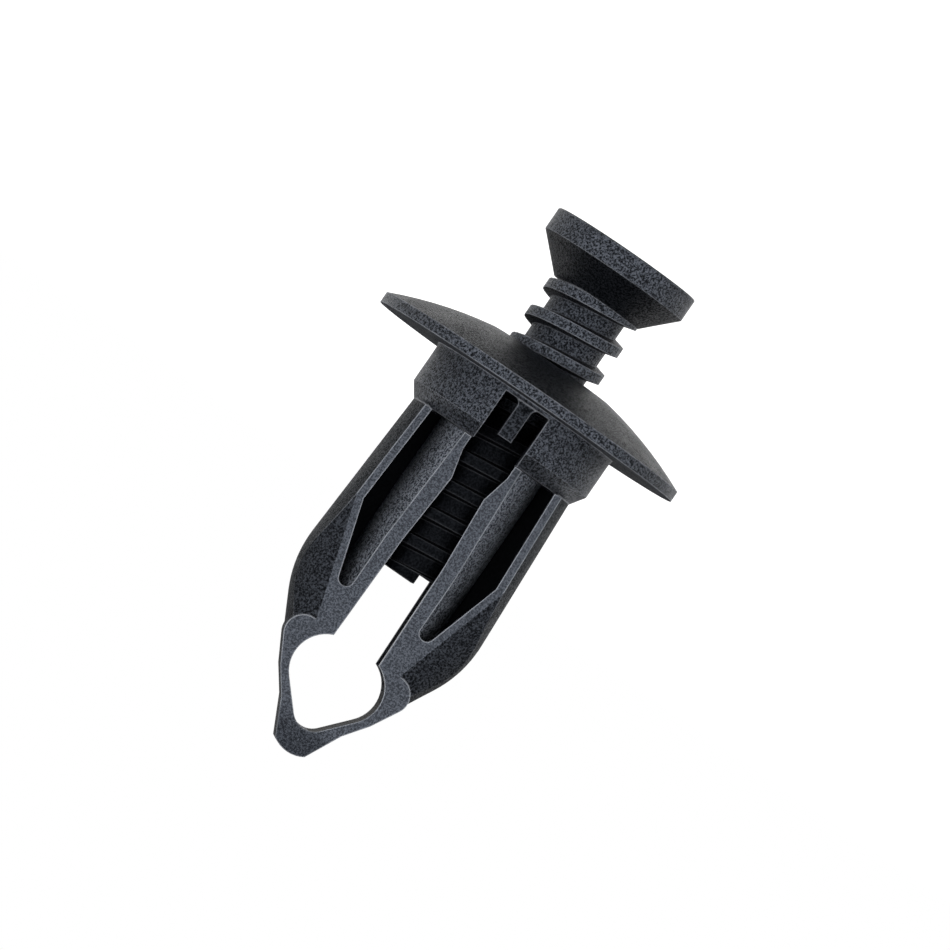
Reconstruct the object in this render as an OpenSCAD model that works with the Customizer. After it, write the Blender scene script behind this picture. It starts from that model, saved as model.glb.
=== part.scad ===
// Bumper clip: a split plastic grommet and the cross-recess screw that is pushed home in it.
// The clip stands on its screw head: z = 0 is the top of the head and +Z runs towards the tip.
// X runs from leg to leg, and the open faces of the legs look along -Y and +Y.

/* [Flange] */
// Diameter of the domed flange
flange_d = 20; // [17:0.5:24]
// Thickness of the flange at its rim
rim_t = 0.66; // [0.5:0.02:1]
// Rise of the dome from the rim to the mouth of the countersink
dome_rise = 1.84; // [1.4:0.02:2.4]
// Diameter of the countersink's mouth in the dome
mouth_d = 8.2; // [7.4:0.1:8.8]

/* [Collar] */
// Diameter of the collar that fills the panel's hole
collar_d = 11.84; // [11.4:0.02:12.6]
// Length of the collar's straight wall
collar_h = 2.55; // [2:0.05:3.2]
// How far the collar's root flares out to the flange
root_flare = 0.06; // [0.03:0.01:0.12]
// Radial size of the collar's lead-in chamfer
lead_r = 0.6; // [0.4:0.02:0.8]
// Length of the collar's lead-in chamfer
lead_h = 0.88; // [0.6:0.02:1.2]

/* [Spring fingers] */
// Width of the window in the collar round each finger
window_w = 2.9; // [2.5:0.05:3.2]
// Wall left between the flange and the top of the window
window_top = 0.26; // [0.2:0.02:0.5]
// Width of a finger
finger_w = 0.9; // [0.7:0.05:1.2]
// Thickness of a finger at its root
finger_t = 1.15; // [0.8:0.05:1.5]
// How far a finger is set back from the collar's surface
finger_set = 0.2; // [0.17:0.01:0.3]
// Radius of the fillets at a finger's root
finger_fillet = 0.36; // [0.2:0.02:0.5]
// Height of a finger's tooth at its base
tooth_base = 1.46; // [1:0.02:1.6]
// Height of the flat tip of the tooth
tooth_tip = 0.54; // [0.3:0.02:0.7]
// Distance of that tip from the finger's free end
tooth_lead = 0.2; // [0.1:0.02:0.3]

/* [Legs] */
// Length of the legs from the flange's seat to the corners of the tip
leg_len = 23.63; // [23:0.01:26]
// Depth of the legs across their open faces
leg_depth = 6.2; // [6:0.05:6.3]
// How far the legs swell outwards below the collar
swell = 0.58; // [0.5:0.02:0.62]
// Distance from the seat to the widest place of the legs
widest_at = 14.7; // [13:0.1:16]
// Radius that blends the swell into the nose
swell_blend = 7; // [4:0.5:9]
// Width over the straps at the knee beside the eye
knee_w = 6.16; // [6:0.02:6.4]
// Distance from the seat to that knee
knee_at = 20.1; // [19.5:0.05:20.6]
// Width over the straps at the waist below the knee
waist_w = 4.1; // [3.9:0.05:4.4]
// Distance from the seat to that waist
waist_at = 21.5; // [21.1:0.05:21.9]
// Width of the blunt tip
tip_w = 2; // [1.8:0.02:2.4]
// How far the end of the tip is rounded out
tip_crown = 0.3; // [0.15:0.05:0.5]
// How far the open faces stop short of the outer surface beside the pockets
face_inset = 0.66; // [0.4:0.02:0.9]
// Distance from the seat to where the nose starts to round off the open faces
nose_from = 9.75; // [8.5:0.05:11]
// How far the nose's outermost line stands out from the edge of the open faces
nose_sag = 2.45; // [2.3:0.05:2.8]
// Width left of the open faces at the end of the nose
neck_face_w = 5.7; // [5.2:0.05:6.4]
// Distance from the seat to the end of the nose
nose_to = 16.86; // [16:0.02:18]
// How far the straps stand proud of the legs' rounded form
strap_skin = 0.05; // [0.04:0.01:0.08]
// Radius of the shoulder where the straps start
shoulder_r = 1.1; // [0.8:0.05:1.3]

/* [Gap] */
// Width of the gap between the legs at the collar
gap_top_w = 3; // [2.6:0.05:3.4]
// Width of the gap at its throat
gap_throat_w = 2.18; // [1.8:0.02:2.5]
// Width of the gap half way down
gap_mid_w = 2.8; // [2.5:0.05:3]
// Width of the gap where it opens into the eye
gap_neck_w = 3.08; // [2.8:0.02:3.4]
// Distance from the collar's end to where the gap narrows
gap_narrows = 0.8; // [0.4:0.05:1.2]
// Distance from the collar's end to the throat
gap_throat_at = 2.55; // [1.8:0.05:3.2]
// Distance from the collar's end to the half-way width
gap_mid_at = 7; // [5:0.1:9]
// How far the gap runs into the eye at its full width
gap_lap = 0.3; // [0.2:0.02:0.6]

/* [Pockets] */
// Wall between a pocket and the edge of the open face
pocket_wall = 0.46; // [0.35:0.01:0.6]
// Distance of a pocket from the clip's middle at the collar
rib_top = 1.94; // [1.8:0.02:2.1]
// Distance of a pocket from the clip's middle lower down
rib_low = 2.32; // [2.2:0.02:2.5]
// Distance from the collar's end to where the rib has its full width
rib_full_at = 7.3; // [5:0.1:9]
// Distance from the seat to the lower end of the pockets
pocket_end = 14.44; // [13:0.02:15]
// Web that parts the front pockets from the back ones
web_t = 0.9; // [0.6:0.05:1.4]
// Wall of the tube round the screw inside the pockets
tube_wall = 0.5; // [0.4:0.01:0.6]

/* [Eye] */
// Width of the eye above the tip
eye_w = 5.65; // [5.2:0.05:5.8]
// Radius of the eye's sides
eye_side_r = 2.09; // [1.8:0.01:2.4]
// Radius of the eye's lower end
eye_end_r = 1.2; // [0.9:0.02:1.4]
// Distance from the middle of the eye's sides to its lower end
eye_drop = 3.37; // [3.1:0.01:3.6]
// Solid length of the tip below the eye
tip_solid = 1.6; // [1.3:0.05:2.2]

/* [Screw] */
// Diameter of the screw's head
head_d = 9.35; // [9:0.05:10]
// Height of the head's straight rim
head_rim = 1.39; // [1:0.02:1.8]
// Bevel on the edge of the head's top
head_bevel = 0.06; // [0.05:0.01:0.25]
// How far the head's cone runs on inside the thread's crest
head_lap = 0.14; // [0.08:0.01:0.3]
// Length of the screw from the top of its head
screw_len = 22.27; // [20:0.05:24]
// Diameter over the thread
thread_d = 5.75; // [5.4:0.05:5.9]
// Diameter of the core between the threads
core_d = 4.39; // [4:0.01:4.8]
// Pitch of the thread
pitch = 1.86; // [1.5:0.02:2.2]
// Width of the thread's flat crest
crest_w = 0.62; // [0.4:0.02:0.8]
// Height of one flank of the thread
flank_h = 0.16; // [0.08:0.01:0.25]
// Height in the head at which the thread begins
thread_from = 0.665; // [0.4:0.005:1.2]
// Length of the taper at the screw's end
end_taper = 1.5; // [0.8:0.1:2.5]
// Radial size of the taper at the screw's end
end_taper_r = 0.5; // [0.2:0.05:0.8]
// Height of the step in the screw's end
end_step = 0.63; // [0.3:0.01:1]
// Distance of that step from the screw's middle
end_step_at = 0.55; // [0.2:0.05:1]

/* [Cross recess] */
// Span of the recess across the head's top
recess_w = 4.8; // [4:0.1:5.4]
// Depth of the recess
recess_depth = 2.3; // [1.8:0.05:2.6]
// Span of the recess at its bottom
recess_end_w = 2; // [1.4:0.1:2.6]
// Width of each of its four slots
recess_slot = 1.05; // [0.8:0.05:1.3]
// Diameter of the round middle of the recess
recess_core = 2.5; // [2:0.1:2.8]
// Diameter of that round middle at the recess's bottom
recess_core_end = 0.7; // [0.5:0.05:0.75]

/* [Fit] */
// Radial clearance of the thread in the grommet
fit = 0.1; // [0.06:0.01:0.15]
// How far the screw travels from its pulled-out place to its driven place
travel = 5.6; // [3:0.1:6]
// Gap left under the head's cone when the screw is driven home
seat_gap = 0.1; // [0.05:0.01:0.2]
// How far the bore runs on past the end of the driven screw
bore_spare = 0.45; // [0.3:0.05:0.8]

/* [Hidden] */
$fn = 96;
eps = 0.02;
over = 1;
swell_steps = 10;
strap_lap = 0.15;
thread_steps = 32;
dome_facets = 180;
head_facets = 128;
grommet_colour = "#26282c";
screw_colour = "#1e2024";

collar_r = collar_d / 2;
collar_len = collar_h + lead_h;
face_y = leg_depth / 2;
slab = 2 * (collar_r + over);
flange_h = rim_t + dome_rise;
head_r = head_d / 2;
mouth_r = mouth_d / 2;
crest_r = thread_d / 2;
core_r = core_d / 2;
bore_r = crest_r + fit;
tube_r = bore_r + tube_wall;
cone_end_r = crest_r - head_lap;
cone_end_z = head_rim + head_r - cone_end_r;

// Height of the head's top over the seat, driven home and as it stands here
driven_h = flange_h + head_rim + head_r - mouth_r + seat_gap;
seat_z = driven_h + travel;
bore_to = screw_len - driven_h + bore_spare;

// Corners of the legs' side outline: half width, distance from the seat
leg_start = [collar_r - lead_r, collar_len];
leg_widest = [collar_r - lead_r + swell, widest_at];
leg_knee = [knee_w / 2, knee_at];
leg_waist = [waist_w / 2, waist_at];
leg_tip = [tip_w / 2, leg_len];

// Corners of the open faces' outline
face_start = [leg_start[0] - face_inset, collar_len];
face_nose = [along(leg_start, leg_widest, nose_from) - face_inset, nose_from];
face_neck = [neck_face_w / 2, nose_to];
nose_taper = -lean(face_nose, face_neck);

// Shoulder circles, tangent to the outline of the straps
strap_slope = atan2(leg_widest[0] - leg_knee[0], leg_knee[1] - leg_widest[1]);
shoulder_at = nose_to + shoulder_r;
shoulder_x = along(leg_widest, leg_knee, shoulder_at) + strap_skin - shoulder_r / cos(strap_slope);
shoulder_tangent = [shoulder_x, shoulder_at] + shoulder_r * [cos(strap_slope), sin(strap_slope)];

// Eye: two side circles and one end circle with their common tangents
tip_end = leg_len + tip_crown;
eye_end_at = tip_end - tip_solid - eye_end_r;
eye_side_at = tip_end - tip_solid - eye_drop;
eye_side_x = eye_w / 2 - eye_side_r;
eye_span = norm([eye_side_x, eye_end_at - eye_side_at]);
eye_lean = atan2(eye_side_x, eye_end_at - eye_side_at);
eye_tangent = 90 + eye_lean - acos((eye_side_r - eye_end_r) / eye_span);

// Half width at distance s on the straight line through p and q
function along(p, q, s) = p[0] + (q[0] - p[0]) * (s - p[1]) / (q[1] - p[1]);

// Outward lean of the straight line from p to q
function lean(p, q) = atan2(q[0] - p[0], q[1] - p[1]);

// Length that a blend of radius rho at q takes off each of the lines p, q and q, r
function reach(p, q, r, rho) = rho * tan((lean(p, q) - lean(q, r)) / 2);

// Half width at distance s on the lines p, q and q, r with a blend of radius rho at q
function bent(p, q, r, rho, s) =
    let (out = lean(p, q))
    let (reach = reach(p, q, r, rho))
    let (from = q[1] - reach * cos(out))
    let (to = q[1] + reach * cos(lean(q, r)))
    let (middle = from + rho * sin(out))
    let (inner = q[0] - reach * sin(out) - rho * cos(out))
    s <= from ? along(p, q, s)
    : s >= to ? along(q, r, s)
    : inner + sqrt(rho * rho - (s - middle) * (s - middle));

function leg_half(s) = bent(leg_start, leg_widest, leg_knee, swell_blend, s);

// Extrudes a front view, drawn as width and distance from the seat, over the whole depth
module front_cut(depth) {
    rotate([90, 0, 0])
        linear_extrude(depth, center = true)
            children();
}

// Corner that the slanted nose takes off the leg on the +X side: what lies outside a slanted cylinder
module nose_cut() {
    nose_r = (face_y * face_y + nose_sag * nose_sag) / (2 * nose_sag);
    reach_x = 2 * nose_r;
    middle = face_neck - (nose_r - nose_sag) * [cos(nose_taper), sin(nose_taper)];
    translate([middle[0], 0, middle[1]])
        rotate([0, -nose_taper, 0])
            difference() {
                translate([0, -reach_x, -leg_len])
                    cube([reach_x, 2 * reach_x, 2 * leg_len]);
                cylinder(r = nose_r, h = 2 * leg_len + over, center = true);
            }
}

// Rounded form of the leg on the +X side, turned about an axis on the far side of the clip
module leg_form() {
    from = collar_len - 2 * eps;
    to = shoulder_tangent[1] + strap_lap;
    arc_r = (face_inset * face_inset + face_y * face_y) / (2 * face_inset);
    shift = arc_r - leg_start[0];
    length = reach(leg_start, leg_widest, leg_knee, swell_blend);
    blend_from = widest_at - length * cos(lean(leg_start, leg_widest));
    blend_to = widest_at + length * cos(lean(leg_widest, leg_knee));
    blend = [for (i = [0 : swell_steps]) blend_from + (blend_to - blend_from) * i / swell_steps];
    levels = concat([from], blend, [to]);
    outline = [for (s = levels) [shift + leg_half(s), s]];
    difference() {
        intersection() {
            translate([-shift, 0, 0])
                rotate_extrude($fn = dome_facets)
                    polygon(concat([[0, from]], outline, [[0, to]]));
            translate([gap_throat_w / 4, -slab, 0])
                cube([slab, 2 * slab, tip_end]);
        }
        nose_cut();
    }
}

// Front view of the straps and the tip
module strap_outline() {
    tip_r = (tip_w * tip_w / 4 + tip_crown * tip_crown) / (2 * tip_crown);
    for (side = [-1, 1])
        translate([side * shoulder_x, shoulder_at])
            circle(shoulder_r);
    half = [[shoulder_x, nose_to], shoulder_tangent, leg_knee, leg_waist, leg_tip];
    mirrored = [for (i = [len(half) - 1 : -1 : 0]) [-half[i][0], half[i][1]]];
    polygon(concat(half, mirrored));
    intersection() {
        translate([0, tip_end - tip_r])
            circle(tip_r);
        translate([-tip_w / 2, leg_len - eps])
            square([tip_w, tip_crown + over]);
    }
}

// Front view of the eye
module eye_outline() {
    side = [eye_side_x, eye_side_at];
    ray = [cos(eye_tangent), sin(eye_tangent)];
    upper = side + eye_side_r * ray;
    lower = [0, eye_end_at] + eye_end_r * ray;
    for (way = [-1, 1])
        translate([way * eye_side_x, eye_side_at])
            circle(eye_side_r);
    translate([0, eye_end_at])
        circle(eye_end_r);
    polygon([
        [eye_side_x, eye_side_at - eye_side_r],
        upper,
        lower,
        [-lower[0], lower[1]],
        [-upper[0], upper[1]],
        [-eye_side_x, eye_side_at - eye_side_r]
    ]);
}

// Front view of the gap between the legs
module gap_outline() {
    half = [
        [gap_top_w / 2, collar_h],
        [gap_top_w / 2, collar_len + gap_narrows],
        [gap_throat_w / 2, collar_len + gap_throat_at],
        [gap_mid_w / 2, collar_len + gap_mid_at],
        [gap_neck_w / 2, eye_side_at - eye_side_r + gap_lap],
        [0, eye_side_at]
    ];
    mirrored = [for (i = [len(half) - 2 : -1 : 0]) [-half[i][0], half[i][1]]];
    polygon(concat(half, mirrored));
}

// Front view of the pocket in the leg on the +X side
module pocket_outline() {
    end_x = along(face_nose, face_neck, pocket_end) - pocket_wall / cos(nose_taper);
    end_r = (end_x - rib_low) * cos(nose_taper) / (1 + cos(nose_taper) - sin(nose_taper));
    middle = [rib_low + end_r, pocket_end - end_r];
    translate(middle)
        circle(end_r);
    polygon([
        [rib_top, collar_len],
        [face_start[0] - pocket_wall, collar_len],
        [face_nose[0] - pocket_wall, nose_from],
        middle + end_r * [cos(nose_taper), sin(nose_taper)],
        middle,
        [rib_low, middle[1]],
        [rib_low, collar_len + rib_full_at]
    ]);
}

// The four pockets, which leave a web in the middle
module pockets() {
    for (turn = [0, 180], leg = [0, 1])
        rotate([0, 0, turn])
            mirror([leg, 0, 0])
                translate([0, -face_y / 2 - web_t / 2 - over / 2, 0])
                    front_cut(face_y + over)
                        pocket_outline();
}

// Tube round the screw, which shows as the rounded floor of the pockets
module tube() {
    depth = leg_depth - pocket_wall;
    intersection() {
        translate([0, 0, collar_len - eps])
            cylinder(r = tube_r, h = pocket_end - collar_len + over);
        translate([-tube_r - over, -depth / 2, 0])
            cube([2 * (tube_r + over), depth, tip_end]);
    }
}

// Both legs with their straps and tip
module legs() {
    difference() {
        union() {
            difference() {
                intersection() {
                    union() {
                        for (leg = [0, 1])
                            mirror([leg, 0, 0])
                                leg_form();
                        front_cut(slab)
                            strap_outline();
                    }
                    translate([-slab / 2, -face_y, 0])
                        cube([slab, leg_depth, tip_end + over]);
                }
                pockets();
            }
            tube();
        }
        front_cut(slab)
            eye_outline();
        front_cut(slab)
            gap_outline();
    }
}

// Flange: a slice of a sphere with a straight rim
module flange() {
    flange_r = flange_d / 2;
    rise = (flange_r * flange_r - mouth_r * mouth_r - dome_rise * dome_rise) / (2 * dome_rise);
    dome_r = norm([flange_r, rise]);
    intersection() {
        translate([0, 0, rise - rim_t])
            sphere(dome_r, $fn = dome_facets);
        translate([0, 0, -flange_h])
            cylinder(d = flange_d, h = flange_h, $fn = dome_facets);
    }
}

// Collar with a flared root and a lead-in chamfer
module collar() {
    cylinder(r1 = collar_r + root_flare, r2 = collar_r, h = window_top);
    translate([0, 0, window_top])
        cylinder(r = collar_r, h = collar_h - window_top);
    translate([0, 0, collar_h])
        cylinder(r1 = collar_r, r2 = collar_r - lead_r, h = lead_h);
}

// Front view of a finger with the fillets at its root
module finger_outline() {
    translate([-finger_w / 2, 0])
        square([finger_w, collar_h]);
    for (side = [0, 1])
        mirror([side, 0])
            difference() {
                translate([finger_w / 2 - eps, window_top - eps])
                    square([finger_fillet, finger_fillet]);
                translate([finger_w / 2 + finger_fillet, window_top + finger_fillet])
                    circle(finger_fillet);
            }
}

// Spring finger in the front window: a strip of the collar's wall with a tooth that rides the thread
module finger() {
    inner = collar_r - finger_t;
    tip_to = collar_h - tooth_lead;
    intersection() {
        front_cut(2 * collar_d)
            finger_outline();
        rotate([90, 0, 90])
            linear_extrude(collar_d, center = true)
                polygon([
                    [-collar_d, 0],
                    [-inner, 0],
                    [-inner, collar_h - tooth_base],
                    [-bore_r, tip_to - tooth_tip],
                    [-bore_r, tip_to],
                    [-inner, collar_h],
                    [-collar_d, collar_h]
                ]);
        cylinder(r = collar_r - finger_set, h = collar_h);
    }
}

module windows() {
    front_cut(2 * collar_d)
        translate([-window_w / 2, window_top])
            square([window_w, collar_len]);
}

module grommet() {
    color(grommet_colour)
        translate([0, 0, seat_z])
            difference() {
                union() {
                    flange();
                    difference() {
                        collar();
                        windows();
                    }
                    legs();
                    for (turn = [0, 180])
                        rotate([0, 0, turn])
                            finger();
                }
                translate([0, 0, -flange_h - over])
                    cylinder(r = bore_r, h = flange_h + over + bore_to);
                translate([0, 0, -flange_h - eps])
                    cylinder(r1 = mouth_r + eps, r2 = bore_r, h = mouth_r + eps - bore_r);
            }
}

// Threaded shank as one helical surface: each step turns the profile of one pitch
module thread() {
    root_w = pitch - crest_w - 2 * flank_h;
    profile = [
        [core_r, 0],
        [core_r, root_w],
        [crest_r, root_w + flank_h],
        [crest_r, root_w + flank_h + crest_w]
    ];
    n = len(profile);
    turns = ceil((screw_len - thread_from) / pitch) + 1;
    last = turns * thread_steps;
    shank = [for (i = [0 : last + thread_steps], p = profile)
        let (turn = 360 * i / thread_steps)
        [p[0] * cos(turn), p[0] * sin(turn), thread_from + p[1] + pitch * i / thread_steps]];
    start = len(shank);
    caps = [[0, 0, thread_from + pitch / 2], [0, 0, thread_from + pitch * (turns + 0.5)]];
    // Index of profile point k at step i: the point after the last one starts the next turn
    function at(i, k) = k < n ? i * n + k : (i + thread_steps) * n;
    walls = [for (i = [0 : last - 1], k = [0 : n - 1]) each [
        [at(i, k), at(i, k + 1), at(i + 1, k + 1)],
        [at(i, k), at(i + 1, k + 1), at(i + 1, k)]
    ]];
    first_cap = concat(
        [for (i = [0 : thread_steps - 1]) [start, at(i, 0), at(i + 1, 0)]],
        [for (k = [0 : n - 1]) [start, at(0, k + 1), at(0, k)]]
    );
    last_cap = concat(
        [for (i = [last : last + thread_steps - 1]) [start + 1, at(i + 1, 0), at(i, 0)]],
        [for (k = [0 : n - 1]) [start + 1, at(last, k), at(last, k + 1)]]
    );
    polyhedron(points = concat(shank, caps), faces = concat(walls, first_cap, last_cap), convexity = 10);
}

// Space that the thread may fill: straight, then tapered to the screw's end
module shank_space() {
    straight = screw_len - end_taper;
    space_r = crest_r + fit / 2;
    cylinder(r = space_r, h = straight);
    translate([0, 0, straight])
        cylinder(r1 = space_r, r2 = crest_r - end_taper_r, h = end_taper);
}

module head() {
    rotate_extrude($fn = head_facets)
        polygon([
            [0, 0],
            [head_r - head_bevel, 0],
            [head_r, head_bevel],
            [head_r, head_rim],
            [cone_end_r, cone_end_z],
            [0, cone_end_z]
        ]);
}

// Cross recess: two tapered blades and a round middle
module recess() {
    for (turn = [0, 90])
        rotate([0, 0, turn])
            rotate([90, 0, 0])
                linear_extrude(recess_slot, center = true)
                    polygon([
                        [-recess_w / 2, -over],
                        [recess_w / 2, -over],
                        [recess_w / 2, 0],
                        [recess_end_w / 2, recess_depth],
                        [-recess_end_w / 2, recess_depth],
                        [-recess_w / 2, 0]
                    ]);
    translate([0, 0, -eps])
        cylinder(d1 = recess_core, d2 = recess_core_end, h = recess_depth + eps);
}

module screw() {
    color(screw_colour)
        difference() {
            union() {
                head();
                intersection() {
                    thread();
                    shank_space();
                }
            }
            recess();
            translate([-crest_r - over - end_step_at, -crest_r - over, screw_len - end_step])
                cube([crest_r + over, 2 * (crest_r + over), end_step + over]);
        }
}

grommet();
screw();
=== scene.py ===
"""Bumper clip of black nylon: a split grommet and its screw, in white studio surroundings."""

import math

import bpy
from mathutils import Matrix, Vector

MM = 0.001

# Camera: the photograph shows the clip lying slantwise, seen almost square to its open side
PHOTO_PIXELS = 950
PIXELS_PER_MM = 17.65
AZIMUTH = math.radians(2.0)
ELEVATION = math.radians(1.3)
SLANT = math.radians(34.6)
AIM_HEIGHT = 15.2 * MM
CAMERA_DISTANCE = 500 * MM
SENSOR = 36.0
CLIP_START = 0.01
CLIP_END = 10

# Studio: a pale floor with a low white wall round it
FLOOR_SIZE = 4.0
FLOOR_COLOUR = (0.82, 0.82, 0.82, 1)
FLOOR_GLOW = 0.94
WALL_RADIUS = 1.5
WALL_HEIGHT = 0.16
WALL_STEPS = 96
WORLD_LEVEL = 0.13

# Soft boxes: name, azimuth and elevation in degrees, width and height, level
BOX_DISTANCE = 0.6
WIDE_BOX = (0.40, 0.26)
TALL_BOX = (0.20, 0.5)
BOXES = [
    ("left_front_box", -34, 9, WIDE_BOX, 0.49),
    ("right_front_box", 34, 9, WIDE_BOX, 0.56),
    ("left_side_box", -66, 8, TALL_BOX, 0.08),
    ("right_side_box", 66, 8, TALL_BOX, 0.26),
    ("left_back_box", -142, 32, WIDE_BOX, 0.18),
    ("right_back_box", 142, 32, WIDE_BOX, 0.18),
]

# Grommet: heights in millimetres from the top of the screw's head, and distances from its middle
SEAT_MM = 10.165
COLLAR_END_MM = 13.6
EYE_MM = 28.6
TIP_MM = 31.6
WEB_MM = 0.55
TUBE_MM = 3.6
FINGER_MM = 1.0
FACE_BAND_MM = (0.08, 0.03)
TIP_FADE_MM = 1.4
WEB_FADE_MM = 0.05
EYE_FADE_MM = 1.0
SEAT_OVER_MM = 0.1
TURNED_MM = 0.1
TIP_BAND_MM = 1.0

# How far a normal turns from or to an axis for a zone, as the size of its component
SLOPED = (0.6, 0.68)
SQUARE = (0.985, 0.998)
ROUND = (0.985, 0.97)
SIDEWAYS = (0.6, 0.85)
ASIDE = (0.3, 0.15)
LEVEL = (0.7, 0.9)

# Screw: radii of its thread, and where painted shade darkens its shank between the legs
CREST_MM = 2.8
CORE_MM = 2.25
SHADE_FROM_MM = 10.2
SHADE_TO_MM = 12.2

# Nylon: its grain, larger clouds in the edges' wear and painted highlight and in the roughness, and pale
# edges that are partly wear and partly a painted highlight
GRAIN_MM = 0.12
GRAIN_LOW = 0.43
GRAIN_HIGH = 0.59
GRAIN_DETAIL = 4.0
GRAIN_ROUGHNESS = 0.75
CLOUD_MM = 2.4
CLOUD_DETAIL = 2.0
CLOUD_ROUGHNESS = 0.5
WEAR_AND_HIGHLIGHT_BY_CLOUD = (0.3, 0.6, 0.6, 1.0)
ROUGH_BY_CLOUD = (0.3, 0.7, -0.04, 0.04)
EDGE_MM = 0.13
EDGE_SAMPLES = 6
EDGE_TURN = (0.992, 0.88)
RELIEF_MM = 0.05
# Pale colour of the rounded edges, partly wear and partly a painted highlight
EDGE_COLOUR = (0.42, 0.44, 0.48, 1)
SHINE_TINT = (0.75, 0.83, 1.0, 1)

# Looks of the zones: colour and shine of the grain's dark and pale specks, and the rest of the surface
LOOKS = {
    "grained": {
        "dark": (0.002, 0.0024, 0.003, 1),
        "pale": (0.022, 0.024, 0.028, 1),
        "shine_low": 0.06,
        "shine_high": 1.0,
        "rough": 0.42,
        "relief": 1.0,
        "wear_and_highlight": 0.6,
    },
    # Painted shade: faces turned along the axis, as under the head and on the flange's dome, get darker
    # specks and less shine.
    "painted_slope_shade": {
        "dark": (0.002, 0.0024, 0.003, 1),
        "pale": (0.008, 0.009, 0.011, 1),
        "shine_low": 0.01,
        "shine_high": 0.18,
        "rough": 0.36,
        "relief": 1.0,
        "wear_and_highlight": 0.4,
    },
    # Painted shade in the thread's roots: darker specks and less shine towards the core.
    "core": {
        "dark": (0.002, 0.0024, 0.003, 1),
        "pale": (0.014, 0.0155, 0.0185, 1),
        "shine_low": 0.02,
        "shine_high": 0.6,
        "rough": 0.42,
        "relief": 1.0,
        "wear_and_highlight": 0.2,
    },
    "leg": {
        "dark": (0.002, 0.0024, 0.003, 1),
        "pale": (0.018, 0.02, 0.024, 1),
        "shine_low": 0.03,
        "shine_high": 0.38,
        "rough": 0.5,
        "relief": 1.0,
        "wear_and_highlight": 0.5,
    },
    "side": {
        "dark": (0.002, 0.0024, 0.003, 1),
        "pale": (0.026, 0.029, 0.034, 1),
        "shine_low": 0.01,
        "shine_high": 0.09,
        "rough": 0.5,
        "relief": 1.0,
        "wear_and_highlight": 0.5,
    },
    # Open faces: smoother with less grain, and paler specks that are a painted sheen.
    "flat": {
        "dark": (0.012, 0.0135, 0.0165, 1),
        "pale": (0.024, 0.0265, 0.031, 1),
        "shine_low": 0.28,
        "shine_high": 0.95,
        "rough": 0.44,
        "relief": 0.4,
        "wear_and_highlight": 1.0,
    },
    "tip": {
        "dark": (0.006, 0.007, 0.009, 1),
        "pale": (0.016, 0.018, 0.022, 1),
        "shine_low": 0.12,
        "shine_high": 0.5,
        "rough": 0.46,
        "relief": 0.6,
        "wear_and_highlight": 0.6,
    },
    # Painted highlight: the tubes in the pockets get very pale specks and full shine.
    "tube": {
        "dark": (0.004, 0.005, 0.0065, 1),
        "pale": (0.16, 0.172, 0.196, 1),
        "shine_low": 0.3,
        "shine_high": 1.0,
        "rough": 0.36,
        "relief": 1.0,
        "wear_and_highlight": 0.0,
    },
    "polished": {
        "dark": (0.004, 0.0045, 0.0055, 1),
        "pale": (0.006, 0.0065, 0.0075, 1),
        "shine_low": 0.2,
        "shine_high": 0.3,
        "rough": 0.24,
        "relief": 0.0,
        "wear_and_highlight": 0.0,
    },
    # Painted light: the flange's seat gets paler specks than the rest of the nylon.
    "seat": {
        "dark": (0.013, 0.0145, 0.0175, 1),
        "pale": (0.05, 0.055, 0.065, 1),
        "shine_low": 0.02,
        "shine_high": 0.12,
        "rough": 0.55,
        "relief": 0.8,
        "wear_and_highlight": 0.4,
    },
    # Painted shade: the pockets' floors and the eye's walls are near black.
    "painted_hollow_shade": {
        "dark": (0.001, 0.001, 0.0012, 1),
        "pale": (0.001, 0.001, 0.0012, 1),
        "shine_low": 0.02,
        "shine_high": 0.04,
        "rough": 0.6,
        "relief": 0.3,
        "wear_and_highlight": 0.0,
    },
    # Painted shade on the shank where it runs between the legs.
    "shaded": {
        "dark": (0.001, 0.0012, 0.0016, 1),
        "pale": (0.004, 0.0045, 0.0055, 1),
        "shine_low": 0.02,
        "shine_high": 0.08,
        "rough": 0.5,
        "relief": 0.6,
        "wear_and_highlight": 0.12,
    },
}

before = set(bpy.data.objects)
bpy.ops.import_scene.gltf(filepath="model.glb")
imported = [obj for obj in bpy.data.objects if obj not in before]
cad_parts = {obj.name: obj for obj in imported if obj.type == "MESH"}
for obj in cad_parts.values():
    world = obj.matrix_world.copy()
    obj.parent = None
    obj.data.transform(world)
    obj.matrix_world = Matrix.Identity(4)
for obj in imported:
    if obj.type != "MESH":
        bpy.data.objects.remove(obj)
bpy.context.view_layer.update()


def new_node(tree, kind, **values):
    """A node of that kind with attributes and input sockets set by name."""
    node = tree.nodes.new(kind)
    for key, value in values.items():
        if hasattr(node, key):
            setattr(node, key, value)
        else:
            node.inputs[key.replace("_", " ")].default_value = value
    return node


def feed(tree, value, socket):
    """Links a socket, or sets a plain value on the shader's own socket."""
    if isinstance(value, bpy.types.NodeSocket):
        tree.links.new(value, socket)
    else:
        socket.default_value = value


def maths(tree, operation, first, second=0.0):
    node = new_node(tree, "ShaderNodeMath", operation=operation)
    feed(tree, first, node.inputs[0])
    feed(tree, second, node.inputs[1])
    return node.outputs[0]


def every(tree, *masks):
    """Product of the masks."""
    product = masks[0]
    for mask in masks[1:]:
        product = maths(tree, "MULTIPLY", product, mask)
    return product


def ranged(tree, value, start, end, low=0.0, high=1.0):
    """Value mapped from start..end to low..high, smoothly and clamped."""
    node = new_node(tree, "ShaderNodeMapRange", interpolation_type="SMOOTHSTEP")
    feed(tree, value, node.inputs["Value"])
    node.inputs["From Min"].default_value = start
    node.inputs["From Max"].default_value = end
    feed(tree, low, node.inputs["To Min"])
    feed(tree, high, node.inputs["To Max"])
    return node.outputs[0]


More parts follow.
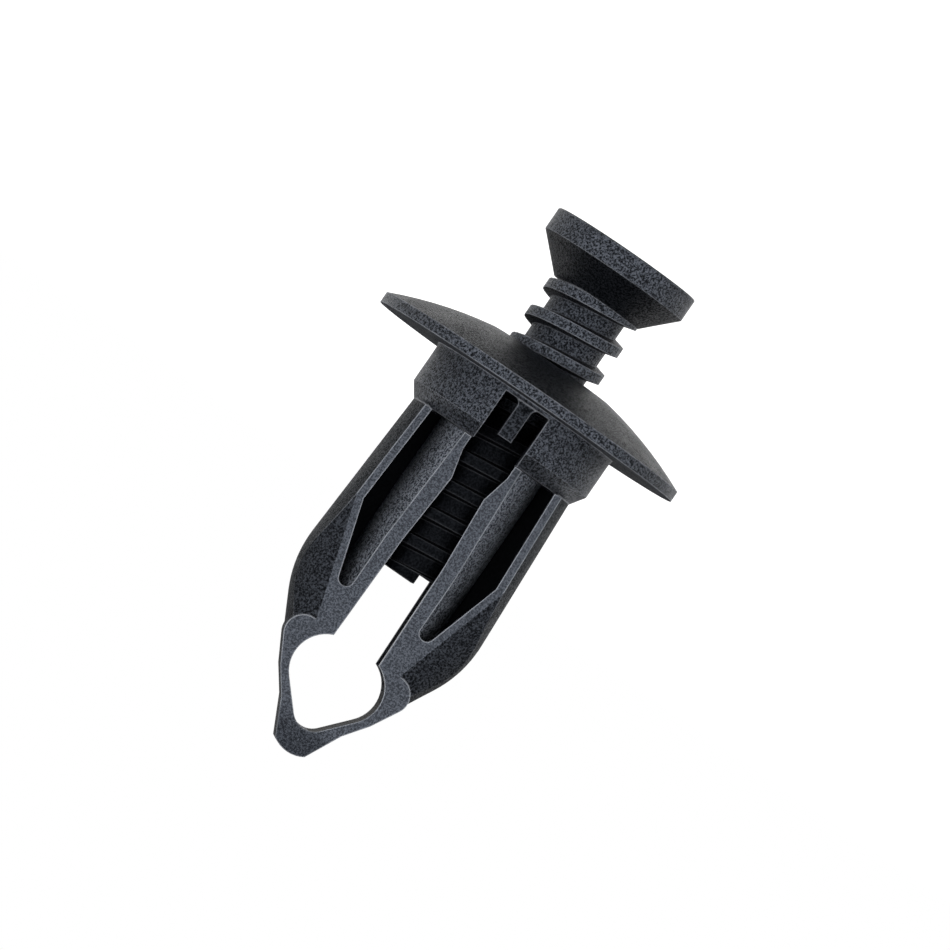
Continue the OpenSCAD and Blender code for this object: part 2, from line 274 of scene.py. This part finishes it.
def blend(tree, mask, first, second):
    """Number that goes from first to second where the mask goes from 0 to 1."""
    node = new_node(tree, "ShaderNodeMix", data_type="FLOAT")
    feed(tree, mask, node.inputs[0])
    feed(tree, first, node.inputs[2])
    feed(tree, second, node.inputs[3])
    return node.outputs[0]


def tint(tree, mask, first, second):
    """Colour that goes from first to second where the mask goes from 0 to 1."""
    node = new_node(tree, "ShaderNodeMix", data_type="RGBA")
    feed(tree, mask, node.inputs[0])
    feed(tree, first, node.inputs[6])
    feed(tree, second, node.inputs[7])
    return node.outputs[2]


def axes(tree, vector):
    node = new_node(tree, "ShaderNodeSeparateXYZ")
    tree.links.new(vector, node.inputs[0])
    return node.outputs[0], node.outputs[1], node.outputs[2]


def shown_rays(tree):
    """1 for camera, glossy and transmission rays, which see the white background."""
    path = new_node(tree, "ShaderNodeLightPath")
    either = maths(tree, "MAXIMUM", path.outputs["Is Camera Ray"], path.outputs["Is Glossy Ray"])
    return maths(tree, "MAXIMUM", either, path.outputs["Is Transmission Ray"])


def dim_world():
    world = bpy.data.worlds.new("studio")
    bpy.context.scene.world = world
    world.use_nodes = True
    tree = world.node_tree
    tree.nodes.clear()
    fill = new_node(tree, "ShaderNodeBackground", Color=(1, 1, 1, 1), Strength=WORLD_LEVEL)
    out = new_node(tree, "ShaderNodeOutputWorld")
    tree.links.new(fill.outputs[0], out.inputs["Surface"])


def white_surface(name, glow, added):
    """Pale surface with a glow that only shown_rays see, added to its shading or in its place."""
    material = bpy.data.materials.new(name)
    material.use_nodes = True
    tree = material.node_tree
    tree.nodes.clear()
    matte = new_node(tree, "ShaderNodeBsdfDiffuse", Color=FLOOR_COLOUR)
    light = new_node(tree, "ShaderNodeEmission", Strength=glow)
    shown = light.outputs[0]
    if added:
        both = new_node(tree, "ShaderNodeAddShader")
        tree.links.new(matte.outputs[0], both.inputs[0])
        tree.links.new(shown, both.inputs[1])
        shown = both.outputs[0]
    mix = new_node(tree, "ShaderNodeMixShader")
    out = new_node(tree, "ShaderNodeOutputMaterial")
    tree.links.new(shown_rays(tree), mix.inputs[0])
    tree.links.new(matte.outputs[0], mix.inputs[1])
    tree.links.new(shown, mix.inputs[2])
    tree.links.new(mix.outputs[0], out.inputs["Surface"])
    return material


def white_floor():
    """Floor that glows a little for the camera, so that only a contact shadow shows on it."""
    bpy.ops.mesh.primitive_plane_add(size=FLOOR_SIZE)
    floor = bpy.context.object
    floor.name = "floor"
    floor.data.materials.append(white_surface("floor_white", FLOOR_GLOW, True))


def white_wall():
    """Low ring that hides the edge of the floor."""
    points = []
    for i in range(WALL_STEPS + 1):
        turn = 2 * math.pi * i / WALL_STEPS
        x = WALL_RADIUS * math.cos(turn)
        y = WALL_RADIUS * math.sin(turn)
        points.append((x, y, 0))
        points.append((x, y, WALL_HEIGHT))
    faces = [(2 * i, 2 * i + 1, 2 * i + 3, 2 * i + 2) for i in range(WALL_STEPS)]
    mesh = bpy.data.meshes.new("wall")
    mesh.from_pydata(points, [], faces)
    wall = bpy.data.objects.new("wall", mesh)
    bpy.context.scene.collection.objects.link(wall)
    mesh.materials.append(white_surface("wall_white", 1.0, False))


def softbox(name, azimuth, elevation, size, level):
    """Area lamp aimed at the clip. Level is how bright a white surface that faces it renders."""
    a = math.radians(azimuth)
    e = math.radians(elevation)
    back = Vector((math.sin(a) * math.cos(e), -math.cos(a) * math.cos(e), math.sin(e)))
    data = bpy.data.lights.new(name, "AREA")
    data.shape = "RECTANGLE"
    data.size, data.size_y = size
    data.energy = level * (math.pi * BOX_DISTANCE) ** 2
    lamp = bpy.data.objects.new(name, data)
    lamp.location = Vector((0, 0, AIM_HEIGHT)) + back * BOX_DISTANCE
    lamp.rotation_mode = "QUATERNION"
    lamp.rotation_quaternion = (-back).to_track_quat("-Z", "Y")
    lamp.visible_camera = False
    bpy.context.scene.collection.objects.link(lamp)


def photo_camera():
    back = Vector((
        math.sin(AZIMUTH) * math.cos(ELEVATION),
        -math.cos(AZIMUTH) * math.cos(ELEVATION),
        math.sin(ELEVATION),
    ))
    slanted = Vector((math.sin(SLANT), 0, -math.cos(SLANT)))
    right = slanted.cross(back).normalized()
    up = back.cross(right)
    data = bpy.data.cameras.new("photo_camera")
    data.sensor_width = SENSOR
    data.lens = SENSOR * CAMERA_DISTANCE / (PHOTO_PIXELS / PIXELS_PER_MM * MM)
    data.clip_start = CLIP_START
    data.clip_end = CLIP_END
    camera = bpy.data.objects.new("photo_camera", data)
    turn = Matrix((right, up, back)).transposed().to_4x4()
    camera.matrix_world = Matrix.Translation(Vector((0, 0, AIM_HEIGHT)) + back * CAMERA_DISTANCE) @ turn
    bpy.context.scene.collection.objects.link(camera)
    bpy.context.scene.camera = camera


class Nylon:
    """Black nylon: grain, pale edges that are partly wear and partly a painted highlight, and masks that
    give zones a look of their own.
    """

    def __init__(self, name):
        self.material = bpy.data.materials.new(name)
        self.material.use_nodes = True
        self.tree = self.material.node_tree
        self.tree.nodes.clear()
        place = new_node(self.tree, "ShaderNodeTexCoord")
        self.spot = place.outputs["Object"]
        self.x, self.y, self.z = axes(self.tree, self.spot)
        self.nx, self.ny, self.nz = axes(self.tree, place.outputs["Normal"])
        self.across = maths(self.tree, "ABSOLUTE", self.y)
        squares = [maths(self.tree, "MULTIPLY", side, side) for side in (self.x, self.y)]
        self.radius = maths(self.tree, "SQRT", maths(self.tree, "ADD", *squares))
        self.facing = maths(self.tree, "ABSOLUTE", self.ny)
        # Faces turned along the axis, where painted shade goes
        self.painted_slope_shade = ranged(self.tree, maths(self.tree, "ABSOLUTE", self.nz), *SLOPED)

    def noise(self, size_mm, detail, roughness):
        node = new_node(
            self.tree, "ShaderNodeTexNoise", Scale=1 / (size_mm * MM), Detail=detail, Roughness=roughness
        )
        self.tree.links.new(self.spot, node.inputs["Vector"])
        return node.outputs["Fac"]

    def edges(self, radius_mm):
        """Rounded normal and a mask of the edges that it rounds."""
        bevel = new_node(self.tree, "ShaderNodeBevel", samples=EDGE_SAMPLES)
        bevel.inputs["Radius"].default_value = radius_mm * MM
        geometry = new_node(self.tree, "ShaderNodeNewGeometry")
        dot = new_node(self.tree, "ShaderNodeVectorMath", operation="DOT_PRODUCT")
        self.tree.links.new(bevel.outputs[0], dot.inputs[0])
        self.tree.links.new(geometry.outputs["Normal"], dot.inputs[1])
        return bevel.outputs[0], ranged(self.tree, dot.outputs["Value"], *EDGE_TURN)

    def finish(self, looks, masks):
        """Builds the shader: the grained look, and over it each masked look in turn."""
        tree = self.tree

        def laid(key, mixer):
            value = looks["grained"][key]
            for name, mask in masks:
                value = mixer(tree, mask, value, looks[name][key])
            return value

        grain = self.noise(GRAIN_MM, GRAIN_DETAIL, GRAIN_ROUGHNESS)
        cloud = self.noise(CLOUD_MM, CLOUD_DETAIL, CLOUD_ROUGHNESS)
        speckle = ranged(tree, grain, GRAIN_LOW, GRAIN_HIGH)
        rounded, edge = self.edges(EDGE_MM)

        colour = tint(tree, speckle, laid("dark", tint), laid("pale", tint))
        # Pale edges, partly wear and partly a painted highlight, broken up by the clouds
        worn_and_highlit = every(tree, edge, laid("wear_and_highlight", blend), ranged(tree, cloud, *WEAR_AND_HIGHLIGHT_BY_CLOUD))
        colour = tint(tree, worn_and_highlit, colour, EDGE_COLOUR)
        rough = maths(tree, "ADD", laid("rough", blend), ranged(tree, cloud, *ROUGH_BY_CLOUD))
        shine = blend(tree, speckle, laid("shine_low", blend), laid("shine_high", blend))

        bump = new_node(tree, "ShaderNodeBump")
        bump.inputs["Distance"].default_value = RELIEF_MM * MM
        tree.links.new(laid("relief", blend), bump.inputs["Strength"])
        tree.links.new(grain, bump.inputs["Height"])
        tree.links.new(rounded, bump.inputs["Normal"])

        shader = new_node(tree, "ShaderNodeBsdfPrincipled")
        shader.inputs["Specular Tint"].default_value = SHINE_TINT
        tree.links.new(colour, shader.inputs["Base Color"])
        tree.links.new(rough, shader.inputs["Roughness"])
        tree.links.new(shine, shader.inputs["Specular IOR Level"])
        tree.links.new(bump.outputs[0], shader.inputs["Normal"])
        out = new_node(tree, "ShaderNodeOutputMaterial")
        tree.links.new(shader.outputs[0], out.inputs["Surface"])
        return self.material


def grommet_nylon(face_y):
    """Grained collar, darker legs, fingers darkened like the legs as painted shade, flat open faces
    partly paler as a painted sheen, tubes painted pale as a highlight, a seat painted paler as light,
    polished gap, painted shade in the hollows.
    """
    nylon = Nylon("grommet_nylon")
    tree = nylon.tree
    leg = maths(tree, "GREATER_THAN", nylon.z, COLLAR_END_MM * MM)
    square = ranged(tree, nylon.facing, *SQUARE)
    # The fingers take the legs' darker look as painted shade
    finger = every(
        tree,
        maths(tree, "GREATER_THAN", nylon.z, (SEAT_MM + SEAT_OVER_MM) * MM),
        maths(tree, "LESS_THAN", maths(tree, "ABSOLUTE", nylon.x), FINGER_MM * MM),
    )
    side = every(tree, leg, ranged(tree, maths(tree, "ABSOLUTE", nylon.nx), *SIDEWAYS))
    face_from, face_to = [face_y - depth * MM for depth in FACE_BAND_MM]
    # Open faces, whose paler look is partly a painted sheen
    flat = every(tree, leg, square, ranged(tree, nylon.across, face_from, face_to))
    tip = every(tree, flat, ranged(tree, nylon.z, TIP_MM * MM, (TIP_MM + TIP_FADE_MM) * MM))
    web = every(tree, leg, square, ranged(tree, nylon.across, WEB_MM * MM, (WEB_MM - WEB_FADE_MM) * MM))

    outward = maths(tree, "MULTIPLY", nylon.nx, nylon.x)
    round_side = ranged(tree, nylon.facing, *ROUND)
    within = maths(tree, "LESS_THAN", nylon.radius, TUBE_MM * MM)
    # Tubes in the pockets, where a painted highlight goes
    tube = every(tree, leg, round_side, within, maths(tree, "GREATER_THAN", outward, TURNED_MM * MM))
    tube = every(tree, tube, maths(tree, "LESS_THAN", nylon.z, EYE_MM * MM))

    aside = ranged(tree, nylon.facing, *ASIDE)
    inner_wall = every(tree, leg, aside, maths(tree, "LESS_THAN", outward, -TURNED_MM * MM))
    low = ranged(tree, nylon.z, EYE_MM * MM, (EYE_MM - EYE_FADE_MM) * MM)
    gap_wall = every(tree, inner_wall, low)
    eye_wall = every(tree, inner_wall, maths(tree, "SUBTRACT", 1.0, low))
    # Flange's seat, painted paler as light
    seat = every(
        tree,
        ranged(tree, nylon.nz, *LEVEL),
        maths(tree, "LESS_THAN", nylon.z, (SEAT_MM + SEAT_OVER_MM) * MM),
    )
    return nylon.finish(LOOKS, [
        ("painted_slope_shade", nylon.painted_slope_shade),
        ("leg", maths(tree, "MAXIMUM", leg, finger)),
        ("side", side),
        ("flat", flat),
        ("tip", tip),
        ("tube", tube),
        ("polished", gap_wall),
        ("seat", seat),
        # Pockets' floors and the eye's walls, painted near black as shade
        ("painted_hollow_shade", maths(tree, "MAXIMUM", web, eye_wall)),
    ])


def screw_nylon():
    """Grained head and thread, painted shade in the thread's core, and painted shade where the shank runs
    between the legs.
    """
    nylon = Nylon("screw_nylon")
    # Towards the core, between the crests, painted shade
    core = ranged(nylon.tree, nylon.radius, CREST_MM * MM, CORE_MM * MM)
    # Shank between the legs, where painted shade goes
    shaded = ranged(nylon.tree, nylon.z, SHADE_FROM_MM * MM, SHADE_TO_MM * MM)
    return nylon.finish(LOOKS, [("painted_slope_shade", nylon.painted_slope_shade), ("core", core), ("shaded", shaded)])


def dress(node, material):
    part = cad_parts[node]
    part.data.materials.clear()
    part.data.materials.append(material)


grommet_points = [v.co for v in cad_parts["grommet"].data.vertices]
grommet_top = max(p.z for p in grommet_points)
open_face_y = max(abs(p.y) for p in grommet_points if p.z > grommet_top - TIP_BAND_MM * MM)
dress("grommet", grommet_nylon(open_face_y))
dress("screw", screw_nylon())

dim_world()
white_floor()
white_wall()
for box in BOXES:
    softbox(*box)
photo_camera()
bpy.context.scene.view_settings.view_transform = "Standard"
